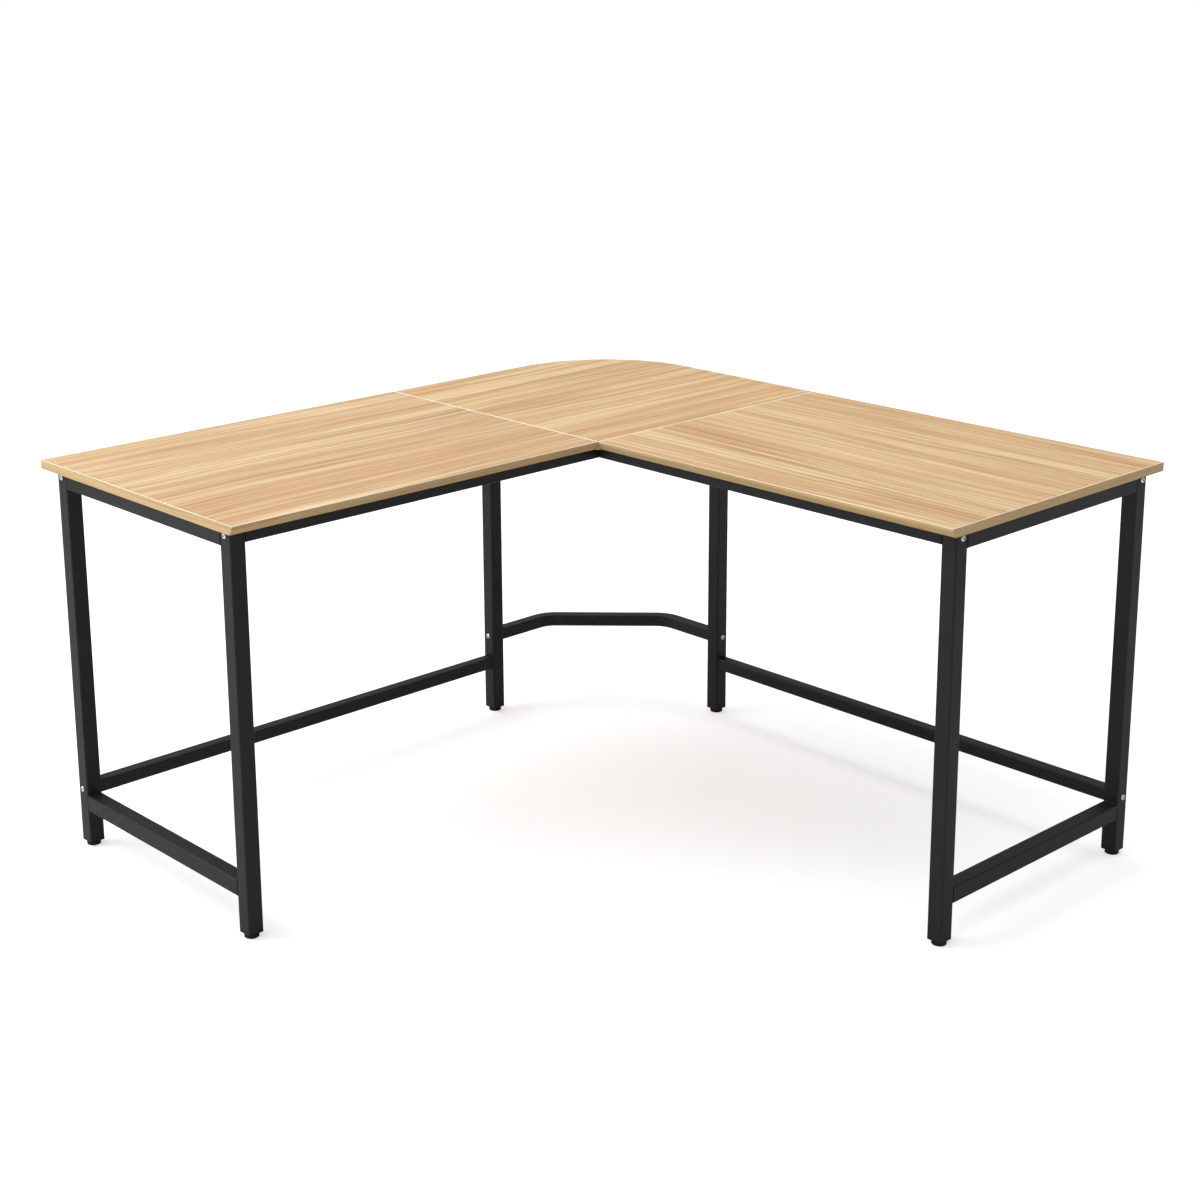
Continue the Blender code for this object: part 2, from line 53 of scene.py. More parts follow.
def fillInputs(tree, node, inputs):
    for name, value in inputs.items():
        if isinstance(value, bpy.types.NodeSocket):
            tree.links.new(value, node.inputs[name])
        else:
            node.inputs[name].default_value = value


def addNode(tree, kind, inputs=None, **settings):
    made = tree.nodes.new(kind)
    made.location = (180 * (len(tree.nodes) % 12), -220 * (len(tree.nodes) // 12))
    for name, value in settings.items():
        setattr(made, name, value)
    fillInputs(tree, made, inputs or {})
    return made


def mathNode(tree, operation, first, second):
    return addNode(tree, "ShaderNodeMath", {0: first, 1: second}, operation=operation).outputs[0]


def stretched(tree, vector, scale):
    return addNode(tree, "ShaderNodeMapping", {"Vector": vector, "Scale": scale}).outputs[0]


def noiseNode(tree, vector, scale, detail, roughness=0.5):
    inputs = {"Vector": vector, "Scale": scale, "Detail": detail, "Roughness": roughness}
    return addNode(tree, "ShaderNodeTexNoise", inputs).outputs[0]


def ranged(tree, value, low, high, toLow=0.0, toHigh=1.0):
    inputs = {"Value": value, "From Min": low, "From Max": high, "To Min": toLow, "To Max": toHigh}
    return addNode(tree, "ShaderNodeMapRange", inputs, clamp=True).outputs[0]


def mixColor(tree, factor, first, second, blend="MIX"):
    inputs = {0: factor, 6: first, 7: second}
    made = addNode(tree, "ShaderNodeMix", inputs, data_type="RGBA", blend_type=blend)
    return made.outputs[2]


def newGroup(name, inputs, outputs):
    tree = bpy.data.node_groups.new(name, "ShaderNodeTree")
    for label, kind, value in inputs:
        socket = tree.interface.new_socket(name=label, in_out="INPUT", socket_type=kind)
        if value is not None:
            socket.default_value = value
    for label, kind in outputs:
        tree.interface.new_socket(name=label, in_out="OUTPUT", socket_type=kind)
    return tree, tree.nodes.new("NodeGroupInput").outputs, tree.nodes.new("NodeGroupOutput").inputs


# Each layer of the grain: its streaks in a metre along and across it, then its noise's detail and
# roughness
grainLayers = {
    "wander": (1.1, 3.2, 2.0, 0.5),
    "ripple": (7.0, 14.0, 1.0, 0.5),
    "bands": (0.9, 26.0, 4.0, 0.62),
    "streaks": (1.7, 75.0, 3.0, 0.6),
    "lines": (1.9, 190.0, 2.0, 0.6),
    "crowding": (1.3, 11.0, 2.0, 0.5),
    "archPlaces": (0.8, 3.5, 1.0, 0.5),
    "fibres": (7.0, 520.0, 2.0, 0.5),
    "pores": (45.0, 900.0, 1.0, 0.5),
}
# Where each layer begins to show and where it shows in full, then what it gives there if not 0 and 1
grainRanges = {
    "tone": (0.68, 0.90),
    "lines": (0.53, 0.63),
    "crowding": (0.40, 0.60, 0.12, 1.0),
    "arches": (0.55, 1.0),
    "archPlaces": (0.42, 0.60),
    "fibres": (0.3, 0.7),
    "fibreShade": (0.3, 0.7, 0.92, 1.07),
    "pores": (0.60, 0.72),
}
grainValues = {
    "waviness": 0.060,  # how far the streaks wander across the grain, from side to side
    "rippling": 0.0070,  # a smaller, quicker wander on top of it
    "streakShare": 0.6,  # of the streaks beside the bands
    "lineStrength": 0.62,
    "poreShade": 0.12,
    "fibreHeight": 0.4,
    "figure": 0.45,  # how strongly the arches of the growth rings show
    "archStretch": (0.16, 3.4, 1),
    "archWave": {"Scale": 6.0, "Distortion": 7.0, "Detail": 2.0, "Detail Scale": 0.7},
}


def grainLayer(tree, vector, name):
    lengthwise, across, detail, roughness = grainLayers[name]
    return noiseNode(tree, stretched(tree, vector, (lengthwise, across, 1)), 1.0, detail, roughness)


def shown(tree, value, name):
    return ranged(tree, value, *grainRanges[name])


def grainWander(tree, vector, name, reach):
    offset = mathNode(tree, "SUBTRACT", grainLayer(tree, vector, name), 0.5)
    return mathNode(tree, "MULTIPLY", offset, reach)


def oakArches(tree, vector, wavy):
    # Long arches where the growth rings meet the surface
    inputs = {"Vector": stretched(tree, wavy, grainValues["archStretch"]), **grainValues["archWave"]}
    settings = {"wave_type": "BANDS", "bands_direction": "Y", "wave_profile": "SAW"}
    wave = addNode(tree, "ShaderNodeTexWave", inputs, **settings).outputs["Fac"]
    where = shown(tree, grainLayer(tree, vector, "archPlaces"), "archPlaces")
    return mathNode(tree, "MULTIPLY", shown(tree, wave, "arches"), where)


def oakGrainGroup():
    # The grain runs along X of the vector.
    tree, given, result = newGroup(
        "oakGrain",
        (
            ("Vector", "NodeSocketVector", None),
            ("Light", "NodeSocketColor", (0.74, 0.56, 0.34, 1)),
            ("Warm", "NodeSocketColor", (0.60, 0.38, 0.20, 1)),
            ("Vein", "NodeSocketColor", (0.40, 0.22, 0.10, 1)),
            ("Figure", "NodeSocketFloat", 0.5),
        ),
        (
            ("Color", "NodeSocketColor"),
            ("Gloss", "NodeSocketFloat"),
            ("Height", "NodeSocketFloat"),
        ),
    )
    vector = given["Vector"]
    wander = grainWander(tree, vector, "wander", grainValues["waviness"])
    ripple = grainWander(tree, vector, "ripple", grainValues["rippling"])
    sideways = mathNode(tree, "ADD", wander, ripple)
    shift = addNode(tree, "ShaderNodeCombineXYZ", {"Y": sideways}).outputs[0]
    wavy = addNode(tree, "ShaderNodeVectorMath", {0: vector, 1: shift}, operation="ADD").outputs[0]

    streaks = mathNode(
        tree, "MULTIPLY", grainLayer(tree, wavy, "streaks"), grainValues["streakShare"]
    )
    tone = shown(tree, mathNode(tree, "ADD", grainLayer(tree, wavy, "bands"), streaks), "tone")
    crowded = shown(tree, grainLayer(tree, wavy, "crowding"), "crowding")
    lines = shown(tree, grainLayer(tree, wavy, "lines"), "lines")
    lines = mathNode(tree, "MULTIPLY", lines, crowded)
    arches = mathNode(tree, "MULTIPLY", oakArches(tree, vector, wavy), given["Figure"])
    fibres = grainLayer(tree, wavy, "fibres")
    pores = shown(tree, grainLayer(tree, wavy, "pores"), "pores")

    lines = mathNode(tree, "MULTIPLY", lines, grainValues["lineStrength"])
    dips = mathNode(tree, "MULTIPLY", pores, grainValues["poreShade"])
    shade = mathNode(tree, "SUBTRACT", shown(tree, fibres, "fibreShade"), dips)
    grey = addNode(tree, "ShaderNodeCombineColor", {0: shade, 1: shade, 2: shade}).outputs[0]
    color = mixColor(tree, tone, given["Light"], given["Warm"])
    color = mixColor(tree, lines, color, given["Vein"])
    color = mixColor(tree, arches, color, given["Vein"])
    color = mixColor(tree, 1.0, color, grey, "MULTIPLY")
    raised = mathNode(tree, "MULTIPLY", fibres, grainValues["fibreHeight"])
    tree.links.new(color, result["Color"])
    tree.links.new(shown(tree, fibres, "fibres"), result["Gloss"])
    tree.links.new(mathNode(tree, "SUBTRACT", raised, pores), result["Height"])
    return tree


def softPebbleGroup():
    # The fine orange peel of powder coat and of moulded plastic, with cloudy patches of gloss.
    tree, given, result = newGroup(
        "softPebble",
        (
            ("Vector", "NodeSocketVector", None),
            ("Pebbles", "NodeSocketFloat", 700.0),
            ("Clouds", "NodeSocketFloat", 9.0),
        ),
        (("Height", "NodeSocketFloat"), ("Clouds", "NodeSocketFloat")),
    )
    pebbles = noiseNode(tree, given["Vector"], given["Pebbles"], 2.0)
    clouds = noiseNode(tree, given["Vector"], given["Clouds"], 3.0)
    tree.links.new(ranged(tree, pebbles, 0.3, 0.7), result["Height"])
    tree.links.new(ranged(tree, clouds, 0.35, 0.65), result["Clouds"])
    return tree


def edgeSheenGroup():
    # 1 on the rounded edges of pieces whose flat faces look along X, Y or Z, broken up by noise: the mask
    # of a painted highlight there, in place of the edges' reflections.
    tree, given, result = newGroup(
        "edgeSheen",
        (
            ("Vector", "NodeSocketVector", None),
            ("Normal", "NodeSocketVector", None),
            ("Break Up", "NodeSocketFloat", 60.0),
        ),
        (("Mask", "NodeSocketFloat"),),
    )
    facing = addNode(tree, "ShaderNodeVectorMath", {0: given["Normal"]}, operation="ABSOLUTE")
    parts = addNode(tree, "ShaderNodeSeparateXYZ", {0: facing.outputs[0]}).outputs
    most = mathNode(tree, "MAXIMUM", mathNode(tree, "MAXIMUM", parts[0], parts[1]), parts[2])
    edge = ranged(tree, mathNode(tree, "SUBTRACT", 1.0, most), 0.06, 0.26)
    patches = noiseNode(tree, given["Vector"], given["Break Up"], 3.0, 0.6)
    tree.links.new(mathNode(tree, "MULTIPLY", edge, ranged(tree, patches, 0.35, 0.65)), result["Mask"])
    return tree


oakGrain = oakGrainGroup()
softPebble = softPebbleGroup()
edgeSheen = edgeSheenGroup()


def useGroup(tree, group, inputs):
    return addNode(tree, "ShaderNodeGroup", inputs, node_tree=group).outputs


def newMaterial(name, constants):
    material = bpy.data.materials.new(name)
    material.use_nodes = True
    tree = material.node_tree
    shader = tree.nodes["Principled BSDF"]
    for label, value in constants.items():
        shader.inputs[label].default_value = value
    place = addNode(tree, "ShaderNodeTexCoord").outputs
    return material, tree, shader, place


def addBump(tree, shader, height, strength, distance):
    bump = addNode(tree, "ShaderNodeBump", {"Height": height, "Strength": strength, "Distance": distance})
    tree.links.new(bump.outputs["Normal"], shader.inputs["Normal"])


# Wood

oakColors = {
    "light": (0.77, 0.580, 0.345, 1),
    "warm": (0.60, 0.370, 0.190, 1),
    "deepLight": (0.76, 0.555, 0.310, 1),
    "deepWarm": (0.60, 0.355, 0.168, 1),
    "vein": (0.38, 0.200, 0.085, 1),
    "bandLight": (0.62, 0.430, 0.210, 1),
    "bandWarm": (0.56, 0.370, 0.170, 1),
    "bandVein": (0.42, 0.260, 0.105, 1),
    # The next two colours are a darker copy of the band's, painted shade for the slope under the nose.
    "underShadeLight": (0.60, 0.400, 0.180, 1),
    "underShadeWarm": (0.52, 0.335, 0.140, 1),
    # The next two colours are a light cream: a painted highlight on the band's rim and the arris beside
    # it.
    "trim": (0.92, 0.810, 0.640, 1),
    "rimHighlightWarm": (0.86, 0.730, 0.550, 1),
}
woodFinish = {
    "ior": 1.45,
    "topRoughness": (0.40, 0.52),
    "bandRoughness": (0.42, 0.52),
    "underRoughness": (0.46, 0.56),
    "trimRoughness": (0.38, 0.46),
    "topBump": (0.25, 0.00008),  # strength, and depth in metres
    "bandBump": (0.20, 0.00006),
}


def laminateMaterial(name, turn, start, light, warm):
    material, tree, shader, place = newMaterial(name, {"IOR": woodFinish["ior"]})
    inputs = {"Vector": place["Object"], "Rotation": (0, 0, turn), "Location": start}
    vector = addNode(tree, "ShaderNodeMapping", inputs).outputs[0]
    grain = useGroup(
        tree,
        oakGrain,
        {
            "Vector": vector,
            "Light": oakColors[light],
            "Warm": oakColors[warm],
            "Vein": oakColors["vein"],
            "Figure": grainValues["figure"],
        },
    )
    tree.links.new(grain["Color"], shader.inputs["Base Color"])
    roughness = ranged(tree, grain["Gloss"], 0, 1, *woodFinish["topRoughness"])
    tree.links.new(roughness, shader.inputs["Roughness"])
    addBump(tree, shader, grain["Height"], *woodFinish["topBump"])
    return material


def edgeBandMaterial(name, light, warm, vein, roughness):
    material, tree, shader, place = newMaterial(name, {"IOR": woodFinish["ior"]})
    parts = addNode(tree, "ShaderNodeSeparateXYZ", {0: place["Object"]}).outputs
    along = mathNode(tree, "ADD", parts[0], parts[1])  # follows whichever way the edge runs
    vector = addNode(tree, "ShaderNodeCombineXYZ", {"X": along, "Y": parts[2]}).outputs[0]
    inputs = {
        "Vector": vector,
        "Light": oakColors[light],
        "Warm": oakColors[warm],
        "Vein": oakColors[vein],
        "Figure": 0.0,
    }
    grain = useGroup(tree, oakGrain, inputs)
    tree.links.new(grain["Color"], shader.inputs["Base Color"])
    gloss = ranged(tree, grain["Gloss"], 0, 1, *woodFinish[roughness])
    tree.links.new(gloss, shader.inputs["Roughness"])
    addBump(tree, shader, grain["Height"], *woodFinish["bandBump"])
    return material


quarter = math.radians(90)
oakSideWing = laminateMaterial("oakSideWing", quarter, (0.31, 0.12, 0.0), "light", "warm")
oakCorner = laminateMaterial("oakCorner", quarter, (2.73, 1.57, 0.4), "deepLight", "deepWarm")
oakMainWing = laminateMaterial("oakMainWing", 0.0, (5.19, 3.41, 0.8), "deepLight", "deepWarm")
edgeBand = edgeBandMaterial("edgeBand", "bandLight", "bandWarm", "bandVein", "bandRoughness")
# A darker copy of the band: painted shade for the downward slope under the nose.
edgeUnderShade = edgeBandMaterial("edgeUnderShade", "underShadeLight", "underShadeWarm", "bandVein", "underRoughness")
# The rim's light cream is a painted highlight.
edgeRimHighlight = edgeBandMaterial("edgeRimHighlight", "trim", "trim", "rimHighlightWarm", "trimRoughness")
print("wood materials made")


# Metal and plastic

coatValues = {
    "dark": (0.0080, 0.0082, 0.0095, 1),
    "soft": (0.0115, 0.0118, 0.0135, 1),
    "sheenColor": (0.030, 0.030, 0.033, 1),  # a painted highlight on the rounded edges, in place of their reflections
    "sheenShare": 0.5,
    "pebbles": 900.0,
    "clouds": 7.0,
    "roughness": (0.42, 0.52),
    "bump": (0.30, 0.00012),
}
plasticValues = {
    "dark": (0.0060, 0.0060, 0.0064, 1),
    "soft": (0.0105, 0.0105, 0.0110, 1),
    # The plastic's rounded edges get the same painted highlight.
    "sheenColor": (0.028, 0.028, 0.029, 1),
    "sheenShare": 0.4,
    "pebbles": 1500.0,
    "clouds": 7.0,
    "roughness": (0.50, 0.62),
    "bump": (0.30, 0.00006),
}
zincValues = {
    "bright": (0.90, 0.90, 0.91, 1),
    "dull": (0.76, 0.76, 0.78, 1),
    "pebbles": 1800.0,
    "clouds": 260.0,
    "roughness": (0.34, 0.48),
    "bump": (0.15, 0.00004),
}


def pebbledSkin(tree, shader, place, values):
    inputs = {"Vector": place["Object"], "Pebbles": values["pebbles"], "Clouds": values["clouds"]}
    skin = useGroup(tree, softPebble, inputs)
    roughness = ranged(tree, skin["Clouds"], 0, 1, *values["roughness"])
    tree.links.new(roughness, shader.inputs["Roughness"])
    addBump(tree, shader, skin["Height"], *values["bump"])
    return skin


def coatedMaterial(name, values):
    material, tree, shader, place = newMaterial(name, {"IOR": 1.5, "Specular IOR Level": 0.28})
    skin = pebbledSkin(tree, shader, place, values)
    # The rounded edges are painted lighter as a highlight, in place of their reflections.
    sheenMask = useGroup(tree, edgeSheen, {"Vector": place["Object"], "Normal": place["Normal"]})
    sheenShare = mathNode(tree, "MULTIPLY", sheenMask["Mask"], values["sheenShare"])
    color = mixColor(tree, skin["Clouds"], values["dark"], values["soft"])
    color = mixColor(tree, sheenShare, color, values["sheenColor"])
    tree.links.new(color, shader.inputs["Base Color"])
    return material


def zincMaterial():
    material, tree, shader, place = newMaterial("zincPlate", {"Metallic": 1.0})
    skin = pebbledSkin(tree, shader, place, zincValues)
    color = mixColor(tree, skin["Clouds"], zincValues["bright"], zincValues["dull"])
    tree.links.new(color, shader.inputs["Base Color"])
    return material


powderCoat = coatedMaterial("powderCoat", coatValues)
blackPlastic = coatedMaterial("blackPlastic", plasticValues)
zincPlate = zincMaterial()
print("metal and plastic materials made")


# Mesh tools

def addPiece(name, bm, finishes, nodes=(), body=deskBody, sharpAngle=38):
    bmesh.ops.recalc_face_normals(bm, faces=bm.faces)
    mesh = bpy.data.meshes.new(name)
    bm.to_mesh(mesh)
    bm.free()
    mesh.shade_smooth()
    mesh.set_sharp_from_angle(angle=math.radians(sharpAngle))
    for finish in finishes:
        mesh.materials.append(finish)
    piece = bpy.data.objects.new(name, mesh)
    bpy.context.scene.collection.objects.link(piece)
    flatFaces = piece.modifiers.new("flatFaces", "WEIGHTED_NORMAL")
    flatFaces.keep_sharp = True
    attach(piece, body)
    if nodes:
        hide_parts(*nodes)


def squareRing(bm, width, height, radius, steps, z):
    made = bmesh.ops.create_grid(bm, x_segments=1, y_segments=1, size=0.5)["verts"]
    bmesh.ops.scale(bm, vec=(width, height, 1), verts=made)
    bmesh.ops.translate(bm, vec=(0, 0, z), verts=made)
    bmesh.ops.bevel(
        bm, geom=made, affect="VERTICES", offset=radius, segments=steps, profile=0.5, material=-1
    )
    face = bm.faces[:][0]  # rings are made before anything is bridged, so there is no other face
    edges = list(face.edges)
    bmesh.ops.delete(bm, geom=[face], context="FACES_ONLY")
    return edges


def edgesOf(verts):
    return list(dict.fromkeys(edge for vert in verts for edge in vert.link_edges))


def roundRing(bm, radius, segments, z):
    made = bmesh.ops.create_circle(bm, cap_ends=False, segments=segments, radius=radius)["verts"]
    bmesh.ops.translate(bm, vec=(0, 0, z), verts=made)
    return edgesOf(made)


def turnProfile(bm, points, segments):
    verts = [bm.verts.new((radius, 0, z)) for radius, z in points]
    line = [bm.edges.new(pair) for pair in zip(verts, verts[1:])]
    bmesh.ops.spin(
        bm,
        geom=verts + line,
        cent=(0, 0, 0),
        axis=(0, 0, 1),
        angle=math.tau,
        steps=segments,
        use_merge=True,
    )
    bmesh.ops.remove_doubles(bm, verts=bm.verts, dist=1e-7)


def bridgeRings(bm, rings, closed):
    pairs = list(zip(rings, rings[1:]))
    if closed:
        pairs.append((rings[-1], rings[0]))
    for first, second in pairs:
        bmesh.ops.bridge_loops(bm, edges=first + second)
    if not closed:
        bmesh.ops.holes_fill(bm, edges=bm.edges, sides=0)


def turnTo(axis, sign=1):
    # Takes local Z to an axis of the frame, with local Y kept level or upright.
    direction = Vector([sign if index == axis else 0 for index in range(3)])
    if axis == alongZ:
        return Matrix.Rotation(0 if sign > 0 else math.pi, 4, "X")
    upright = Vector((0, 0, 1))
    return Matrix((upright.cross(direction), upright, direction)).transposed().to_4x4()


def boxCentre(low, high):
    return (low + high) / 2


# Boards

boardSizes = {
    "bandShows": 0.0018,  # width of the edge band's rim, seen from above
    "edgeRound": 0.0006,
    "roundFrom": 25,  # degrees between two faces, from which their edge is rounded
    "roundSteps": 3,
    "noseHeight": 0.005,
    "noseRound": 0.0016,
    "undercut": 0.008,
    "outerRadius": 0.240,
    "outerSteps": 48,
}
topFinish, rimHighlightFinish, bandFinish, underShadeFinish = 0, 1, 2, 3


def boardBlock(node):
    low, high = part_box(node)
    bm = bmesh.new()
    bmesh.ops.create_cube(bm, size=1)
    bmesh.ops.scale(bm, vec=high - low, verts=bm.verts)
    bmesh.ops.translate(bm, vec=boxCentre(low, high), verts=bm.verts)
    return bm, low, high


def edgesAt(bm, test):
    return [edge for edge in bm.edges if all(test(vert.co) for vert in edge.verts)]


def near(first, second):
    return abs(first - second) < 1e-6


def softenEdges(bm, edges, offset):
    bmesh.ops.bevel(
        bm,
        geom=edges,
        affect="EDGES",
        offset=offset,
        segments=boardSizes["roundSteps"],
        profile=0.5,
        material=-1,
        clamp_overlap=True,
    )


def finishBoard(bm, node, name, laminate):
    # The rim of the band, then the soft arris all round, then which finish is where.
    top = max((face for face in bm.faces if face.normal.z > 0.9), key=lambda face: face.calc_area())
    bmesh.ops.inset_region(bm, faces=[top], thickness=boardSizes["bandShows"], use_even_offset=True)
    rim = set(top.edges)
    bend = math.radians(boardSizes["roundFrom"])
    outer = [edge for edge in bm.edges if edge not in rim and edge.calc_face_angle(0) > bend]
    softenEdges(bm, outer, boardSizes["edgeRound"])
    for face in bm.faces:
        facing = face.normal.z
        if face is top or facing < -0.9:
            face.material_index = topFinish
        elif facing > 0.3:  # the band's rim and the arris beside it, light cream as a painted highlight
            face.material_index = rimHighlightFinish
        elif facing < -0.4 and face.calc_area() > 1e-4:  # the slope below a wing's nose, in a darker copy of the band as painted shade
            face.material_index = underShadeFinish
        else:
            face.material_index = bandFinish
    addPiece(name, bm, (laminate, edgeRimHighlight, edgeBand, edgeUnderShade), (node,))


def makeWing(node, name, frontAxis, frontSign, laminate):
    bm, low, high = boardBlock(node)
    front = high[frontAxis] if frontSign > 0 else low[frontAxis]
    noseZ = high.z - boardSizes["noseHeight"]
    everything = list(bm.verts) + list(bm.edges) + list(bm.faces)
    bmesh.ops.bisect_plane(bm, geom=everything, plane_co=(0, 0, noseZ), plane_no=(0, 0, 1))
    back = Vector((0, 0, 0))
    back[frontAxis] = -frontSign * boardSizes["undercut"]
    foot = [vert for vert in bm.verts if near(vert.co.z, low.z) and near(vert.co[frontAxis], front)]
    bmesh.ops.translate(bm, vec=back, verts=foot)
    nose = edgesAt(bm, lambda co: near(co.z, noseZ) and near(co[frontAxis], front))
    softenEdges(bm, nose, boardSizes["noseRound"])
    bm.normal_update()
    finishBoard(bm, node, name, laminate)


def makeCornerBoard():
    node = "corner_board"
    bm, low, high = boardBlock(node)
    corner = edgesAt(bm, lambda co: near(co.x, low.x) and near(co.y, high.y))
    bmesh.ops.bevel(
        bm,
        geom=corner,
        affect="EDGES",
        offset=boardSizes["outerRadius"],
        segments=boardSizes["outerSteps"],
        profile=0.5,
        material=-1,
    )
    bm.normal_update()
    finishBoard(bm, node, "corner_top", oakCorner)


makeWing("side_wing_board", "side_wing_top", alongX, 1, oakSideWing)
makeWing("main_wing_board", "main_wing_top", alongY, -1, oakMainWing)
makeCornerBoard()
print("boards made")


# Steel tubes

tubeSizes = {
    "wall": 0.0012,
    "cornerRadius": 0.0030,
    "cornerSteps": 6,
    "rim": 0.0002,
    "plateRecess": 0.0004,
}


def tubeStack(width, height, length, isOpen):
    wall, rim, recess = tubeSizes["wall"], tubeSizes["rim"], tubeSizes["plateRecess"]
    outside = [(rim, 0), (0, rim), (0, length - rim), (rim, length)]
    if isOpen:
        stations = outside + [(wall, length), (wall, 0)]
    else:
        stations = [(wall, recess), (wall, 0)] + outside + [(wall, length), (wall, length - recess)]
    bm = bmesh.new()
    rings = []
    for inset, z in stations:
        radius = max(tubeSizes["cornerRadius"] - inset, tubeSizes["wall"] / 2)
        size = (width - 2 * inset, height - 2 * inset)
        rings.append(squareRing(bm, *size, radius, tubeSizes["cornerSteps"], z))
    bridgeRings(bm, rings, isOpen)
    return bm


def makeTube(node, axis, isOpen):
    low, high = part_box(node)
    size = high - low
    width, height = (size.x, size.y) if axis == alongZ else (size[1 - axis], size.z)
    bm = tubeStack(width, height, size[axis], isOpen)
    start = boxCentre(low, high)
    start[axis] = low[axis]
    bmesh.ops.transform(bm, matrix=Matrix.Translation(start) @ turnTo(axis), verts=bm.verts)
    addPiece(node + "_tube", bm, (powderCoat,), (node,))


for spot in spots:
    makeTube("leg_" + spot, alongZ, True)
for node in ("side_top_end_rail", "side_lower_end_rail"):
    makeTube(node, alongX, True)
for node in ("main_top_end_rail", "main_lower_end_rail"):
    makeTube(node, alongY, True)
for node in ("side_front_rail", "side_back_rail", "main_cross_rail", "side_stretcher"):
    makeTube(node, alongY, False)
for node in ("main_front_rail", "main_back_rail", "side_cross_rail", "main_stretcher"):
    makeTube(node, alongX, False)
print("tubes made")


# Corner brace

braceSizes = {"straight": 0.136, "bendRadius": 0.060, "bendSteps": 12, "cornerRadius": 0.0030}


def makeBrace():
    low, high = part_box("corner_brace")
    width = high.z - low.z
    straight, radius = braceSizes["straight"], braceSizes["bendRadius"]
    north, east = Vector((0, 1, 0)), Vector((1, 0, 0))
    start = Vector((low.x + width / 2, low.y, (low.z + high.z) / 2))
    end = Vector((high.x, high.y - width / 2, start.z))
    first, last = start + straight * north, end - straight * east
    diagonal = (last - first).normalized()
    bm = bmesh.new()
    edges = squareRing(bm, width, width, braceSizes["cornerRadius"], tubeSizes["cornerSteps"], 0)
    bmesh.ops.transform(bm, matrix=Matrix.Translation(start) @ turnTo(alongY), verts=bm.verts)

    def pull(edges, vec):
        grown = bmesh.ops.extrude_edge_only(bm, edges=edges)["geom"]
        moved = [item for item in grown if isinstance(item, bmesh.types.BMVert)]
        bmesh.ops.translate(bm, vec=vec, verts=moved)
        return [item for item in grown if isinstance(item, bmesh.types.BMEdge)]

    def bendRound(edges, centre, angle):
        geom = edges + list(dict.fromkeys(vert for edge in edges for vert in edge.verts))
        grown = bmesh.ops.spin(
            bm, geom=geom, cent=centre, axis=(0, 0, 1), angle=angle, steps=braceSizes["bendSteps"]
        )["geom_last"]
        return [item for item in grown if isinstance(item, bmesh.types.BMEdge)]

    bend = north.angle(diagonal)
    trim = radius * math.tan(bend / 2)
    edges = pull(edges, (straight - trim) * north)
    edges = bendRound(edges, first - trim * north + radius * east, -bend)
    bendTwo = diagonal.angle(east)
    trimTwo = radius * math.tan(bendTwo / 2)
    edges = pull(edges, diagonal * ((last - first).length - trim - trimTwo))
    edges = bendRound(edges, last + trimTwo * east - radius * north, -bendTwo)
    edges = pull(edges, (straight - trimTwo) * east)
    bmesh.ops.holes_fill(bm, edges=bm.edges, sides=0)
    bmesh.ops.remove_doubles(bm, verts=bm.verts, dist=1e-6)
    addPiece("corner_brace_tube", bm, (powderCoat,), ("corner_brace",))


makeBrace()
print("brace made")


# Weld beads of the two end frames, on the inner sides of the joints

weldSizes = {
    "radius": 0.0019,
    "ripple": 0.10,  # how much each wave of the bead swells
    "pitch": 0.0016,
    "waveSteps": 3,
    "endTaper": 0.45,
    "segments": 10,
}


def addBead(bm, start, end):
    run = end - start
    radius = weldSizes["radius"]
    bead = bmesh.new()
    bmesh.ops.create_cone(
        bead,
        cap_ends=True,
        segments=weldSizes["segments"],
        radius1=radius,
        radius2=radius,
        depth=run.length,
    )
    sides = [edge for edge in bead.edges if edge.calc_length() > run.length * 0.99]
    cuts = round(run.length / weldSizes["pitch"] * weldSizes["waveSteps"])
    bmesh.ops.subdivide_edges(bead, edges=sides, cuts=cuts)
    for vert in bead.verts:
        along = vert.co.z + run.length / 2
        swell = 1 + weldSizes["ripple"] * math.sin(math.tau * along / weldSizes["pitch"])
        taper = min(1, weldSizes["endTaper"] + min(along, run.length - along) / (2 * radius))
        vert.co.xy *= swell * taper
    turn = run.to_track_quat("Z", "Y").to_matrix().to_4x4()
    place = Matrix.Translation((start + end) / 2) @ turn
    bmesh.ops.transform(bead, matrix=place, verts=bead.verts)
    mesh = bpy.data.meshes.new("bead")
    bead.to_mesh(mesh)
    bead.free()
    bm.from_mesh(mesh)
    bpy.data.meshes.remove(mesh)


def makeWelds(node, name, axis, innerSign, onTop):
    low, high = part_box(node)
    across = 1 - axis
    inner = high[across] if innerSign > 0 else low[across]
    margin = tubeSizes["cornerRadius"]
    bm = bmesh.new()
    for place in (low[axis], high[axis]):
        levels = [low.z, high.z] if onTop else [low.z]
        for z in levels:
            start, end = Vector((0, 0, z)), Vector((0, 0, z))
            start[axis] = end[axis] = place
            start[across], end[across] = low[across] + margin, high[across] - margin
            addBead(bm, start, end)
        start, end = Vector((0, 0, low.z + margin)), Vector((0, 0, high.z - margin))
        start[axis] = end[axis] = place
        start[across] = end[across] = inner
        addBead(bm, start, end)
    addPiece(name, bm, (powderCoat,), sharpAngle=70)


makeWelds("side_top_end_rail", "side_top_welds", alongX, 1, False)
makeWelds("side_lower_end_rail", "side_lower_welds", alongX, 1, True)
makeWelds("main_top_end_rail", "main_top_welds", alongY, -1, False)
makeWelds("main_lower_end_rail", "main_lower_welds", alongY, -1, True)
print("welds made")


# Bolts and screws

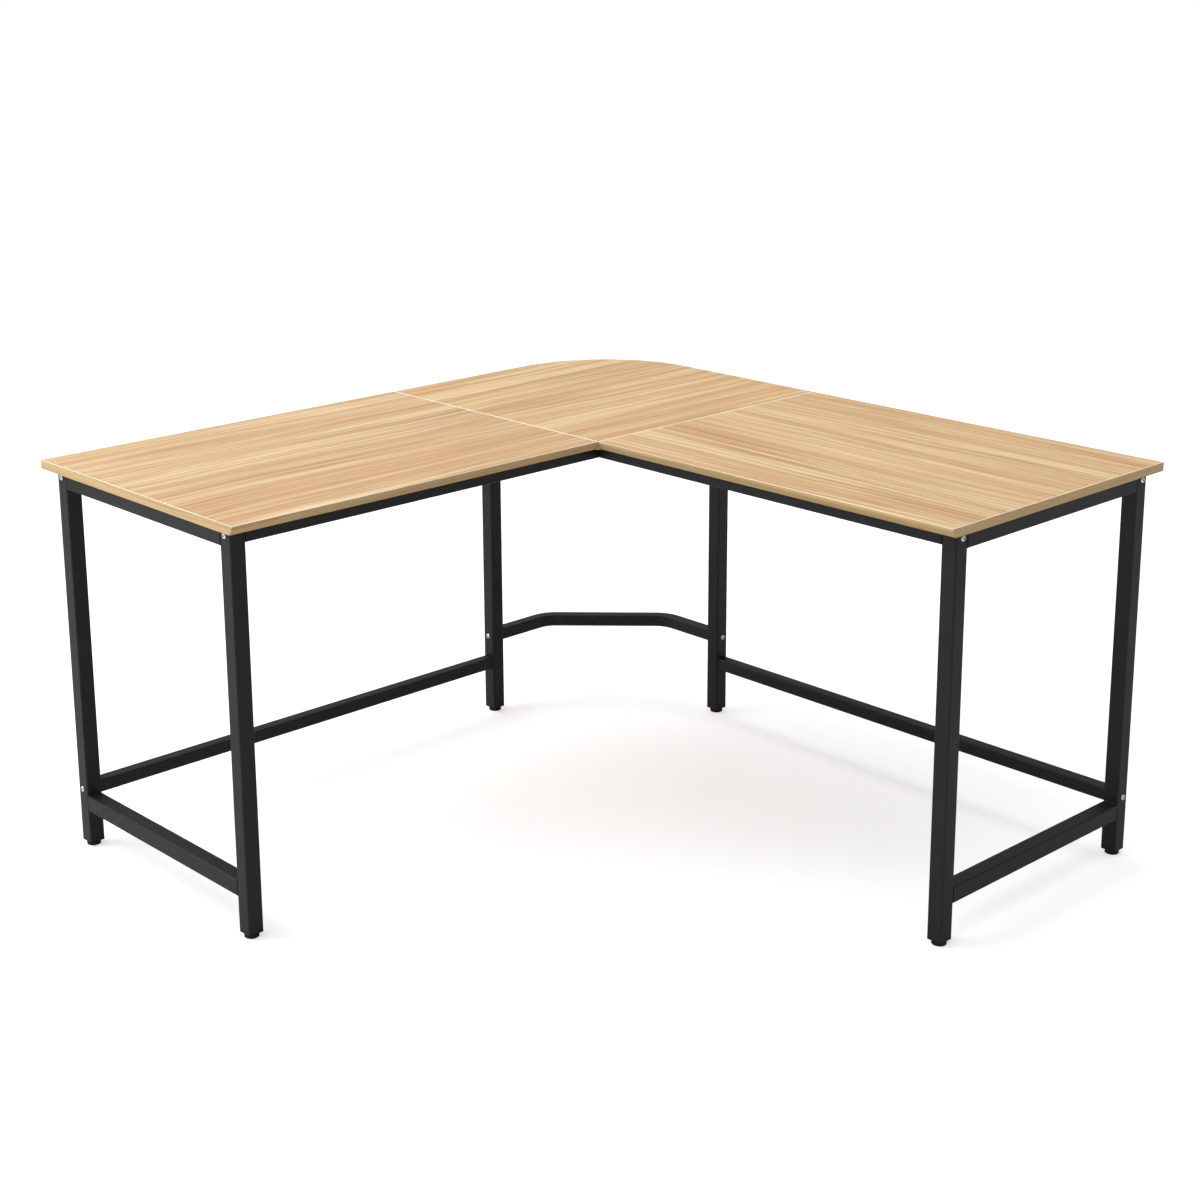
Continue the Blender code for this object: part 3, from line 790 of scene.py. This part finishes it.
boltSizes = {
    "headRadius": 0.00525,
    "headHeight": 0.0030,
    "stemRadius": 0.00285,
    "socketRadius": 0.0021,
    "socketFlare": 1.08,  # the socket's mouth beside its width below
    "socketRim": 0.0002,
    "socketDepth": 0.0017,
    "segments": 24,
}
screwSizes = {
    "headRadius": 0.0040,
    "headHeight": 0.0022,
    "stemRadius": 0.0018,
    "crossArm": 0.0021,
    "crossWidth": 0.0007,
    "crossDepth": 0.0012,
    "crossTaper": (0.5, 0.8),  # the arm's reach and its width at the bottom of the recess
    "segments": 24,
}
# Points of a head's outline: shares of its radius, and of its height below the top
headOutline = ((0.96, 1), (1, 0.94), (1, 0.70), (0.96, 0.45), (0.85, 0.20), (0.70, 0.05), (0.58, 0))
stemPoint = {"radius": 0.6, "length": 0.5}  # the chamfer at the stem's end, as shares of its radius


def fastenerPlace(node):
    # The top of a fastener's head and the way it looks, from its CAD node. The points of the head lie
    # further from the axis than those of the stem.
    low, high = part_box(node)
    size = high - low
    axis = max(range(3), key=lambda index: size[index])
    middle = boxCentre(low, high)
    headReach = 0.45 * min(size[index] for index in range(3) if index != axis)
    headPlaces = []
    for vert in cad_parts[node].data.vertices:
        aside = vert.co - middle
        aside[axis] = 0
        if aside.length > headReach:
            headPlaces.append(vert.co[axis])
    sign = 1 if sum(headPlaces) / len(headPlaces) > middle[axis] else -1
    middle[axis] = high[axis] if sign > 0 else low[axis]
    return Matrix.Translation(middle) @ turnTo(axis, sign), size[axis]


def turnHead(bm, sizes, length):
    # Stem and head up to the rim of the recess, which stays open; z = 0 is the top of the head.
    radius, height, stem = sizes["headRadius"], sizes["headHeight"], sizes["stemRadius"]
    points = [
        (0, -length),
        (stem * stemPoint["radius"], -length),
        (stem, -length + stem * stemPoint["length"]),
        (stem, -height),
    ]
    points += [(radius * across, -height * down) for across, down in headOutline]
    turnProfile(bm, points, sizes["segments"])
    return [edge for edge in bm.edges if edge.is_boundary]


def hexRing(bm, radius, segments, z):
    made = bmesh.ops.create_circle(bm, cap_ends=False, segments=6, radius=radius)["verts"]
    bmesh.ops.translate(bm, vec=(0, 0, z), verts=made)
    bmesh.ops.subdivide_edges(bm, edges=edgesOf(made), cuts=segments // 6 - 1)
    return [edge for edge in bm.edges if edge.is_wire and near(edge.verts[0].co.z, z)]


def makeBolt(node):
    place, length = fastenerPlace(node)
    bm = bmesh.new()
    rings = [turnHead(bm, boltSizes, length)]
    segments = boltSizes["segments"]
    socket = boltSizes["socketRadius"]
    rings.append(hexRing(bm, socket * boltSizes["socketFlare"], segments, 0.0))
    rings.append(hexRing(bm, socket, segments, -boltSizes["socketRim"]))
    rings.append(hexRing(bm, socket, segments, -boltSizes["socketDepth"]))
    bridgeRings(bm, rings, False)
    bmesh.ops.transform(bm, matrix=place, verts=bm.verts)
    addPiece(node + "_steel", bm, (zincPlate,), (node,), sharpAngle=50)


def crossRing(bm, arm, halfWidth, z):
    # A plus sign: each arm is two points and the corner where it meets the next arm.
    corners = ((arm, -halfWidth), (arm, halfWidth), (halfWidth, halfWidth))
    made = bmesh.ops.create_circle(bm, cap_ends=False, segments=12, radius=arm)["verts"]
    for index, vert in enumerate(made):
        turned = Matrix.Rotation(math.tau / 4 * (index // 3), 2) @ Vector(corners[index % 3])
        vert.co = (turned.x, turned.y, z)
    return edgesOf(made)


def makeScrew(node):
    place, length = fastenerPlace(node)
    bm = bmesh.new()
    rings = [turnHead(bm, screwSizes, length)]
    arm, halfWidth = screwSizes["crossArm"], screwSizes["crossWidth"] / 2
    shorter, narrower = screwSizes["crossTaper"]
    rings.append(crossRing(bm, arm, halfWidth, 0))
    rings.append(crossRing(bm, arm * shorter, halfWidth * narrower, -screwSizes["crossDepth"]))
    bridgeRings(bm, rings, False)
    bmesh.ops.transform(bm, matrix=place, verts=bm.verts)
    addPiece(node + "_steel", bm, (zincPlate,), (node,), sharpAngle=50)


for node in sorted(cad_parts):
    if node.startswith("bolt_"):
        makeBolt(node)
    elif node.startswith("screw_"):
        makeScrew(node)
print("bolts and screws made")


# Plates under the seams

plateSizes = {"cornerRadius": 0.003, "cornerSteps": 5, "rim": 0.0003}


def makeSeamPlate(node):
    low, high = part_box(node)
    size = high - low
    bm = bmesh.new()
    rings = []
    rim = plateSizes["rim"]
    for inset, z in ((rim, 0), (0, rim), (0, size.z - rim), (rim, size.z)):
        radius = plateSizes["cornerRadius"] - inset
        ringSize = (size.x - 2 * inset, size.y - 2 * inset)
        rings.append(squareRing(bm, *ringSize, radius, plateSizes["cornerSteps"], z))
    bridgeRings(bm, rings, False)
    place = boxCentre(low, high)
    place.z = low.z
    bmesh.ops.translate(bm, vec=place, verts=bm.verts)
    addPiece(node + "_steel", bm, (zincPlate,), (node,))


makeSeamPlate("side_seam_plate")
makeSeamPlate("main_seam_plate")
print("seam plates made")


# Feet: a square plug in the leg, and a fluted glide on a threaded stud

footSizes = {
    "plugSteps": 6,
    "plugCorner": 0.003,
    "flange": 0.0020,
    "flangeRim": 0.0004,
    "holeRadius": 0.0042,
    "wallInset": 0.0015,
    "glideHeight": 0.0082,
    "flutes": 12,
    "fluteDepth": 0.0009,
    "fluteFrom": 0.9,  # share of the radius at which the flutes begin
    "segments": 96,
    "studRoot": 0.0034,
    "studCrest": 0.0039,
    "studPitch": 0.00125,
    "studOverlap": 0.001,
    "studSteps": 20,
}
# Outlines of a glide: the sole from its middle out to the rim, with shares of the radius and heights
# above the floor, then the crown from the rim in to the middle, with depths below its top
soleOutline = (
    (0, 0.0004),
    (0.30, 0.0004),
    (0.62, 0.0003),
    (0.80, 0.0),
    (0.93, 0.0),
    (0.985, 0.0005),
    (1, 0.0013),
)
crownOutline = (
    (1, 0.0016),
    (0.975, 0.0007),
    (0.92, 0.0001),
    (0.62, 0),
    (0.56, 0),
    (0.50, 0.0006),
    (0, 0.0006),
)


def makePlug(spot):
    node = "leg_plug_" + spot
    low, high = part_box(node)
    width, height = high.x - low.x, high.z - low.z
    steps, corner = footSizes["plugSteps"], footSizes["plugCorner"]
    rim, flange, inset = footSizes["flangeRim"], footSizes["flange"], footSizes["wallInset"]
    holeSegments = 4 * (steps + 1)
    bm = bmesh.new()

    def square(inset, z):
        size = width - 2 * inset
        return squareRing(bm, size, size, corner - inset, steps, z)

    rings = [
        roundRing(bm, footSizes["holeRadius"] + rim, holeSegments, 0),
        square(rim, 0),
        square(0, rim),
        square(0, flange),
        square(inset, flange),
        square(inset, height - rim),
        square(inset + rim, height),
        roundRing(bm, footSizes["holeRadius"], holeSegments, height),
        roundRing(bm, footSizes["holeRadius"], holeSegments, rim),
    ]
    bridgeRings(bm, rings, True)
    place = boxCentre(low, high)
    place.z = low.z
    bmesh.ops.translate(bm, vec=place, verts=bm.verts)
    addPiece(node + "_insert", bm, (blackPlastic,), (node,))


def makeGlide(spot):
    node = "levelling_foot_" + spot
    low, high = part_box(node)
    radius, height = (high.x - low.x) / 2, footSizes["glideHeight"]
    points = [(radius * across, up) for across, up in soleOutline]
    points += [(radius * across, height - down) for across, down in crownOutline]
    bm = bmesh.new()
    turnProfile(bm, points, footSizes["segments"])
    inner = footSizes["fluteFrom"]
    for vert in bm.verts:
        reach = vert.co.xy.length / radius
        if reach > inner:
            angle = math.atan2(vert.co.y, vert.co.x)
            wave = 0.5 + 0.5 * math.cos(angle * footSizes["flutes"])
            fade = (reach - inner) / (1 - inner)
            vert.co.xy *= 1 - footSizes["fluteDepth"] / radius * wave**2 * fade
    place = boxCentre(low, high)
    place.z = low.z
    bmesh.ops.translate(bm, vec=place, verts=bm.verts)
    body = "foot_" + spot
    addPiece("glide_" + spot, bm, (blackPlastic,), (node,), body, 45)


def makeStud(spot):
    node = "levelling_foot_" + spot
    low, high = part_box(node)
    root, crest, pitch = footSizes["studRoot"], footSizes["studCrest"], footSizes["studPitch"]
    start = low.z + footSizes["glideHeight"] - footSizes["studOverlap"]
    turns = int((high.z - start - pitch) / pitch)
    bm = bmesh.new()
    points = [bm.verts.new((root, 0, 0)), bm.verts.new((crest, 0, pitch * 0.45))]
    points += [bm.verts.new((crest, 0, pitch * 0.55)), bm.verts.new((root, 0, pitch))]
    line = [bm.edges.new(pair) for pair in zip(points, points[1:])]
    bmesh.ops.spin(
        bm,
        geom=points + line,
        cent=(0, 0, 0),
        axis=(0, 0, 1),
        dvec=(0, 0, pitch / footSizes["studSteps"]),
        angle=math.tau * turns,
        steps=footSizes["studSteps"] * turns,
    )
    bmesh.ops.remove_doubles(bm, verts=bm.verts, dist=1e-5)
    bmesh.ops.holes_fill(bm, edges=bm.edges, sides=0)
    place = boxCentre(low, high)
    place.z = start
    bmesh.ops.translate(bm, vec=place, verts=bm.verts)
    addPiece("stud_" + spot, bm, (zincPlate,), (node,), "foot_" + spot, 45)


for spot in spots:
    makePlug(spot)
    makeGlide(spot)
    makeStud(spot)
print("feet made")


# Studio

# Turns and spreads are in degrees, and powers are in watts.
studio = {
    "floorSize": 60.0,
    "floorColor": (0.66, 0.66, 0.66, 1),
    "floorSoft": (0.64, 0.64, 0.64, 1),
    "floorClouds": 0.8,
    "floorGlow": 0.55,
    "skyStrength": 0.35,
    "overhead": {"turn": (12, -14, 0), "spread": 75, "strength": 2.35},
    "leftHigh": {"place": (-2.0, -2.2, 2.8), "aim": (-0.3, 0.1, 0.7), "size": 1.6, "power": 46},
    "leftLow": {"place": (-1.9, -3.2, 0.9), "aim": (-0.2, 0, 0.4), "size": 1.8, "power": 17},
    "camera": {
        "place": (2.5959, -2.4714, 1.6591),
        "turn": (75.757, 0.452, 47.215),
        "lens": 62.985,
        "shift": (0.0303, -0.12),
    },
}


def makeFloor():
    bm = bmesh.new()
    bmesh.ops.create_grid(bm, x_segments=2, y_segments=2, size=studio["floorSize"] / 2)
    mesh = bpy.data.meshes.new("floor")
    bm.to_mesh(mesh)
    bm.free()
    constants = {"Roughness": 0.9, "Specular IOR Level": 0.1, "Emission Color": (1, 1, 1, 1)}
    material, tree, shader, place = newMaterial("paleFloor", constants)
    inputs = {"Vector": place["Object"], "Clouds": studio["floorClouds"]}
    clouds = useGroup(tree, softPebble, inputs)["Clouds"]
    color = mixColor(tree, clouds, studio["floorColor"], studio["floorSoft"])
    tree.links.new(color, shader.inputs["Base Color"])
    # The floor glows for the camera only, so shadows on it stay faint and the glow doesn't light the desk.
    seen = addNode(tree, "ShaderNodeLightPath").outputs["Is Camera Ray"]
    glow = mathNode(tree, "MULTIPLY", seen, studio["floorGlow"])
    tree.links.new(glow, shader.inputs["Emission Strength"])
    mesh.materials.append(material)
    floor = bpy.data.objects.new("floor", mesh)
    bpy.context.scene.collection.objects.link(floor)


def makeSky():
    world = bpy.data.worlds.new("softSky")
    bpy.context.scene.world = world
    world.use_nodes = True
    tree = world.node_tree
    background = tree.nodes["Background"]
    background.inputs["Color"].default_value = (1, 1, 1, 1)
    seen = addNode(tree, "ShaderNodeLightPath").outputs["Is Camera Ray"]
    strength = ranged(tree, seen, 0, 1, studio["skyStrength"], 1.0)
    tree.links.new(strength, background.inputs["Strength"])


def placeInStudio(name, data, location, rotation):
    placed = bpy.data.objects.new(name, data)
    bpy.context.scene.collection.objects.link(placed)
    placed.location = location
    placed.rotation_euler = rotation
    return placed


def makeSun(name, values):
    data = bpy.data.lights.new(name, "SUN")
    data.angle = math.radians(values["spread"])
    data.energy = values["strength"]
    placeInStudio(name, data, (0, 0, 0), [math.radians(angle) for angle in values["turn"]])


def makeLight(name, values):
    data = bpy.data.lights.new(name, "AREA")
    data.shape = "SQUARE"
    data.size = values["size"]
    data.energy = values["power"]
    toAim = Vector(values["aim"]) - Vector(values["place"])
    placeInStudio(name, data, values["place"], toAim.to_track_quat("-Z", "Y").to_euler())


def makeCamera():
    values = studio["camera"]
    data = bpy.data.cameras.new("camera")
    data.sensor_width = 36
    data.lens = values["lens"]
    data.shift_x, data.shift_y = values["shift"]
    turn = [math.radians(angle) for angle in values["turn"]]
    bpy.context.scene.camera = placeInStudio("camera", data, values["place"], turn)


makeFloor()
makeSky()
makeSun("overheadLight", studio["overhead"])
makeLight("leftHighLight", studio["leftHigh"])
makeLight("leftLowLight", studio["leftLow"])
makeCamera()
bpy.context.scene.view_settings.view_transform = "Standard"
print("studio made")
